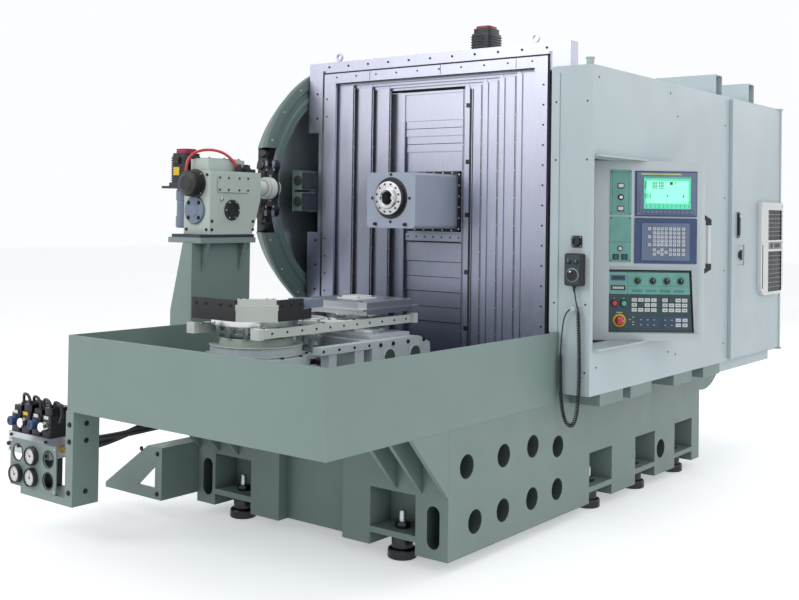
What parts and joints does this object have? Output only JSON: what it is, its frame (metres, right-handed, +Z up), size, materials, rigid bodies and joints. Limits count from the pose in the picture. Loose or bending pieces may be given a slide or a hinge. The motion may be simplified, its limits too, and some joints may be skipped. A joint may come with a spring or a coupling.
{
  "type": "horizontal machining centre",
  "caption": "Horizontal machining centre without outer guards: travelling column, pallet changer, side tool magazine and arm, swivelling operator panel.",
  "frame": {"origin": "on the floor under the middle of the machine's footprint", "axes": "+X to the right seen from the loading station, +Y to the rear, +Z up"},
  "size_m": [2.339, 3.999, 2.395],
  "materials": {
    "casting": "satin",
    "feet": "matt",
    "tray": "satin",
    "cabinet": "satin",
    "dark_trim": "matt",
    "switch_plastic": "matt",
    "aircon": "satin",
    "cover_sheet": "brushed",
    "inner_casting": "satin",
    "motor": "satin",
    "ram_metal": "satin",
    "steel": "ground",
    "machined_iron": "machined",
    "pallet_iron": "ground",
    "guard": "satin",
    "pots": "matt",
    "pod": "satin",
    "cnc": "matt",
    "panel_slate": "matt",
    "red_plastic": "gloss",
    "black_plastic": "matt",
    "green_plastic": "gloss",
    "cord": "matt",
    "hose": "matt",
    "bracket": "satin",
    "hydraulic": "machined"
  },
  "bodies": {
    "base": {"bed": "casting", "levelling_feet": "feet", "coolant_tray": "tray", "cabinet_shell": "cabinet", "electrical_cabinet": "cabinet", "wall_frame": "cover_sheet", "table_base": "casting", "changer_base": "casting", "atc_pedestal": "casting", "magazine_guard": "guard", "magazine_stand": "guard", "manifold_bracket": "bracket", "gauge_panel": "bracket", "valve_manifold": "hydraulic", "hydraulic_hoses": "hose", "pendant": "black_plastic", "pendant_cord": "cord", "pendant_coil": "cord"},
    "column": {"column": "inner_casting", "y_cover": "cover_sheet", "axis_motor": "motor"},
    "head": {"head_carriage": "inner_casting"},
    "ram": {"ram": "ram_metal"},
    "spindle": {"spindle": "steel"},
    "rotary_table": {"rotary_table": "steel"},
    "rear_pallet": {"rear_pallet": "pallet_iron"},
    "station_table": {"station_table": "steel"},
    "front_pallet": {"front_pallet": "pallet_iron"},
    "changer_post": {"changer_hub": "steel"},
    "changer_fork": {"changer_fork": "casting"},
    "atc_saddle": {"atc_saddle": "machined_iron"},
    "atc_housing": {"atc_housing": "casting", "atc_drives": "motor"},
    "tool_arm": {"tool_arm": "steel"},
    "magazine_disc": {"magazine_disc": "pots"},
    "panel": {"operator_pod": "pod", "cnc_units": "cnc", "control_plate": "panel_slate"},
    "emergency_stop": {"emergency_stop": "red_plastic"},
    "cycle_start": {"cycle_start_button": "green_plastic"},
    "feed_hold": {"feed_hold_button": "red_plastic"},
    "electrical_door": {"electrical_door": "cabinet", "air_conditioner": "aircon"},
    "door_handle": {"door_handle": "dark_trim"},
    "main_switch": {"main_switch": "switch_plastic"},
    "left_cover_1": {"left_cover_1": "cover_sheet"},
    "left_cover_2": {"left_cover_2": "cover_sheet"},
    "left_cover_3": {"left_cover_3": "cover_sheet"},
    "right_cover_1": {"right_cover_1": "cover_sheet"},
    "override_knob_1": {"override_knob_1": "black_plastic"},
    "right_cover_2": {"right_cover_2": "cover_sheet"},
    "override_knob_2": {"override_knob_2": "black_plastic"},
    "right_cover_3": {"right_cover_3": "cover_sheet"},
    "override_knob_3": {"override_knob_3": "black_plastic"},
    "right_cover_4": {"right_cover_4": "cover_sheet"},
    "override_knob_4": {"override_knob_4": "black_plastic"},
    "upper_slat_1": {"upper_slat_1": "cover_sheet"},
    "upper_slat_2": {"upper_slat_2": "cover_sheet"},
    "lower_slat_1": {"lower_slat_1": "cover_sheet"},
    "lower_slat_2": {"lower_slat_2": "cover_sheet"}
  },
  "joints": [
    {"name": "column_x", "type": "slide", "parent": "base", "child": "column", "axis": [1, 0, 0], "range_m": [-0.4, 0.22]},
    {"name": "head_z", "type": "slide", "parent": "column", "child": "head", "axis": [0, 0, 1], "range_m": [-0.25, 0.15]},
    {"name": "ram_y", "type": "slide", "parent": "head", "child": "ram", "axis": [0, -1, 0], "range_m": [0, 0.28]},
    {"name": "spindle_turn", "type": "hinge", "parent": "ram", "child": "spindle", "pos_m": [-0.03148, -0.6755, 1.462], "axis": [0, 1, 0], "continuous": true},
    {"name": "left_cover_1_slide", "type": "slide", "parent": "base", "child": "left_cover_1", "axis": [1, 0, 0], "range_m": [-0.0995, 0.0549]},
    {"name": "left_cover_2_slide", "type": "slide", "parent": "base", "child": "left_cover_2", "axis": [1, 0, 0], "range_m": [-0.2085, 0.1149]},
    {"name": "left_cover_3_slide", "type": "slide", "parent": "base", "child": "left_cover_3", "axis": [1, 0, 0], "range_m": [-0.3085, 0.1699]},
    {"name": "right_cover_1_slide", "type": "slide", "parent": "base", "child": "right_cover_1", "axis": [1, 0, 0], "range_m": [-0.3205, 0.1765]},
    {"name": "right_cover_2_slide", "type": "slide", "parent": "base", "child": "right_cover_2", "axis": [1, 0, 0], "range_m": [-0.2405, 0.1325]},
    {"name": "right_cover_3_slide", "type": "slide", "parent": "base", "child": "right_cover_3", "axis": [1, 0, 0], "range_m": [-0.1605, 0.0885]},
    {"name": "right_cover_4_slide", "type": "slide", "parent": "base", "child": "right_cover_4", "axis": [1, 0, 0], "range_m": [-0.0805, 0.0445]},
    {"name": "upper_slat_1_slide", "type": "slide", "parent": "column", "child": "upper_slat_1", "axis": [0, 0, 1], "range_m": [-0.0838, 0.0505]},
    {"name": "upper_slat_2_slide", "type": "slide", "parent": "column", "child": "upper_slat_2", "axis": [0, 0, 1], "range_m": [-0.1672, 0.1005]},
    {"name": "lower_slat_1_slide", "type": "slide", "parent": "column", "child": "lower_slat_1", "axis": [0, 0, 1], "range_m": [-0.1672, 0.1005]},
    {"name": "lower_slat_2_slide", "type": "slide", "parent": "column", "child": "lower_slat_2", "axis": [0, 0, 1], "range_m": [-0.0838, 0.0505]},
    {"name": "table_turn", "type": "hinge", "parent": "base", "child": "rotary_table", "pos_m": [-0.14448, -0.7425, 0.862], "axis": [0, 0, 1], "continuous": true},
    {"name": "station_turn", "type": "hinge", "parent": "base", "child": "station_table", "pos_m": [-0.14448, -1.4065, 0.862], "axis": [0, 0, 1], "continuous": true},
    {"name": "changer_lift", "type": "slide", "parent": "base", "child": "changer_post", "axis": [0, 0, 1], "range_m": [0, 0.06]},
    {"name": "changer_swing", "type": "hinge", "parent": "changer_post", "child": "changer_fork", "pos_m": [-0.14448, -1.0745, 0.872], "axis": [0, 0, 1], "range_deg": [0, 180]},
    {"name": "rear_pallet_turn", "type": "hinge", "parent": "changer_fork", "child": "rear_pallet", "pos_m": [-0.14448, -0.7425, 0.985], "axis": [0, 0, 1], "continuous": true},
    {"name": "front_pallet_turn", "type": "hinge", "parent": "changer_fork", "child": "front_pallet", "pos_m": [-0.14448, -1.4065, 0.985], "axis": [0, 0, 1], "continuous": true},
    {"name": "arm_cross", "type": "slide", "parent": "base", "child": "atc_saddle", "axis": [1, 0, 0], "range_m": [0, 0.17]},
    {"name": "arm_pull", "type": "slide", "parent": "atc_saddle", "child": "atc_housing", "axis": [0, -1, 0], "range_m": [0, 0.12]},
    {"name": "arm_turn", "type": "hinge", "parent": "atc_housing", "child": "tool_arm", "pos_m": [-0.74148, -0.7275, 1.508], "axis": [0, 1, 0], "range_deg": [-90, 180]},
    {"name": "magazine_turn", "type": "hinge", "parent": "base", "child": "magazine_disc", "pos_m": [-0.88148, -0.0275, 1.5], "axis": [1, 0, 0], "continuous": true},
    {"name": "panel_swing", "type": "hinge", "parent": "base", "child": "panel", "pos_m": [0.91252, 0.1405, 1.23], "axis": [0, 0, 1], "range_deg": [-10, 46]},
    {"name": "emergency_stop_push", "type": "slide", "parent": "panel", "child": "emergency_stop", "axis": [-0.6101, 0.7923, 0], "range_m": [0, 0.006]},
    {"name": "cycle_start_push", "type": "slide", "parent": "panel", "child": "cycle_start", "axis": [-0.6101, 0.7923, 0], "range_m": [0, 0.0035], "stiffness_N_per_m": 300},
    {"name": "feed_hold_push", "type": "slide", "parent": "panel", "child": "feed_hold", "axis": [-0.6101, 0.7923, 0], "range_m": [0, 0.0035], "stiffness_N_per_m": 300},
    {"name": "override_knob_1_turn", "type": "hinge", "parent": "panel", "child": "override_knob_1", "pos_m": [0.90249, 0.07977, 1.086], "axis": [-0.6101, 0.7923, 0], "range_deg": [-135, 135]},
    {"name": "override_knob_2_turn", "type": "hinge", "parent": "panel", "child": "override_knob_2", "pos_m": [0.95954, 0.1237, 1.086], "axis": [-0.6101, 0.7923, 0], "range_deg": [-135, 135]},
    {"name": "override_knob_3_turn", "type": "hinge", "parent": "panel", "child": "override_knob_3", "pos_m": [1.01183, 0.16397, 1.086], "axis": [-0.6101, 0.7923, 0], "range_deg": [-135, 135]},
    {"name": "override_knob_4_turn", "type": "hinge", "parent": "panel", "child": "override_knob_4", "pos_m": [1.06412, 0.20424, 1.086], "axis": [-0.6101, 0.7923, 0], "range_deg": [-135, 135]},
    {"name": "electrical_door_swing", "type": "hinge", "parent": "base", "child": "electrical_door", "pos_m": [0.93252, 1.9895, 1.3], "axis": [0, 0, 1], "range_deg": [0, 110]},
    {"name": "door_handle_turn", "type": "hinge", "parent": "electrical_door", "child": "door_handle", "pos_m": [0.93252, 1.286, 1.402], "axis": [1, 0, 0], "range_deg": [0, 90]},
    {"name": "main_switch_turn", "type": "hinge", "parent": "electrical_door", "child": "main_switch", "pos_m": [0.93252, 1.3345, 1.182], "axis": [1, 0, 0], "range_deg": [0, 90]}
  ],
  "couplings": [
    {"joint": "left_cover_1_slide", "follows": "column_x", "ratio": 0.2475},
    {"joint": "left_cover_2_slide", "follows": "column_x", "ratio": 0.52},
    {"joint": "left_cover_3_slide", "follows": "column_x", "ratio": 0.77},
    {"joint": "right_cover_1_slide", "follows": "column_x", "ratio": 0.8},
    {"joint": "right_cover_2_slide", "follows": "column_x", "ratio": 0.6},
    {"joint": "right_cover_3_slide", "follows": "column_x", "ratio": 0.4},
    {"joint": "right_cover_4_slide", "follows": "column_x", "ratio": 0.2},
    {"joint": "upper_slat_1_slide", "follows": "head_z", "ratio": 0.33333},
    {"joint": "upper_slat_2_slide", "follows": "head_z", "ratio": 0.66667},
    {"joint": "lower_slat_1_slide", "follows": "head_z", "ratio": 0.66667},
    {"joint": "lower_slat_2_slide", "follows": "head_z", "ratio": 0.33333},
    {"joint": "rear_pallet_turn", "follows": "table_turn", "ratio": 1},
    {"joint": "front_pallet_turn", "follows": "station_turn", "ratio": 1}
  ]
}
